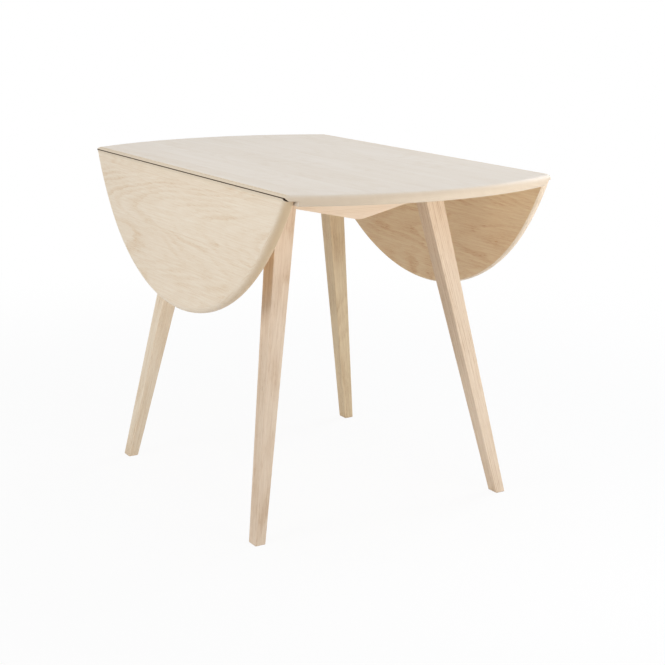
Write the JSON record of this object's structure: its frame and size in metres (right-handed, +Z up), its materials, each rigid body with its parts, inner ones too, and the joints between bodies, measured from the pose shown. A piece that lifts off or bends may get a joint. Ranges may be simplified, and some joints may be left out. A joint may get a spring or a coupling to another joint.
{
  "type": "drop-leaf folding table",
  "caption": "Oval dining table on splayed tapered legs, with two half-round leaves hanging from rule joints beside a fixed centre panel.",
  "frame": {"origin": "on the floor, under the middle of the centre panel", "axes": "+Z up, +X across the leaves towards the right leaf, +Y along the hinge lines"},
  "size_m": [0.6789, 1.094, 0.74],
  "materials": {
    "pale_ash": "whitewashed, satin lacquer",
    "hinge_brass": "satin",
    "zinc_steel": "zinc plated",
    "beech": "bare"
  },
  "bodies": {
    "frame": {"centre_panel": "pale_ash", "leg_left_front": "pale_ash", "leg_right_front": "pale_ash", "leg_left_back": "pale_ash", "leg_right_back": "pale_ash", "end_rail_front": "pale_ash", "end_rail_back": "pale_ash", "spine": "pale_ash", "hinge_panel_flap_left_1": "hinge_brass", "hinge_panel_flap_left_2": "hinge_brass", "hinge_panel_flap_left_3": "hinge_brass", "hinge_pin_left_1": "hinge_brass", "hinge_pin_left_2": "hinge_brass", "hinge_pin_left_3": "hinge_brass", "wing_pivot_bolt_left": "zinc_steel", "wing_washer_left": "zinc_steel", "hinge_panel_flap_right_1": "hinge_brass", "hinge_panel_flap_right_2": "hinge_brass", "hinge_panel_flap_right_3": "hinge_brass", "hinge_pin_right_1": "hinge_brass", "hinge_pin_right_2": "hinge_brass", "hinge_pin_right_3": "hinge_brass", "wing_pivot_bolt_right": "zinc_steel", "wing_washer_right": "zinc_steel", "hinge_screws_panel": "hinge_brass", "frame_screws": "zinc_steel", "leg_bolts": "zinc_steel", "barrel_nuts": "zinc_steel", "leg_dowels": "beech"},
    "leaf_left_swing": {"leaf_left": "pale_ash", "hinge_leaf_flap_left_1": "hinge_brass", "hinge_leaf_flap_left_2": "hinge_brass", "hinge_leaf_flap_left_3": "hinge_brass", "hinge_screws_leaf_left": "hinge_brass"},
    "leaf_right_swing": {"leaf_right": "pale_ash", "hinge_leaf_flap_right_1": "hinge_brass", "hinge_leaf_flap_right_2": "hinge_brass", "hinge_leaf_flap_right_3": "hinge_brass", "hinge_screws_leaf_right": "hinge_brass"},
    "wing_left_swing": {"wing_left": "pale_ash"},
    "wing_right_swing": {"wing_right": "pale_ash"}
  },
  "joints": [
    {"name": "leaf_left_hinge", "type": "hinge", "parent": "frame", "child": "leaf_left_swing", "pos_m": [-0.312, 0, 0.7338], "axis": [0, 1, 0], "range_deg": [-3, 87]},
    {"name": "leaf_right_hinge", "type": "hinge", "parent": "frame", "child": "leaf_right_swing", "pos_m": [0.312, 0, 0.7338], "axis": [0, -1, 0], "range_deg": [-5.5, 84.5]},
    {"name": "wing_left_pivot", "type": "hinge", "parent": "frame", "child": "wing_left_swing", "pos_m": [-0.043, 0.15, 0.7075], "axis": [0, 0, -1], "range_deg": [0, 48]},
    {"name": "wing_right_pivot", "type": "hinge", "parent": "frame", "child": "wing_right_swing", "pos_m": [0.043, -0.15, 0.7075], "axis": [0, 0, -1], "range_deg": [0, 48]}
  ]
}
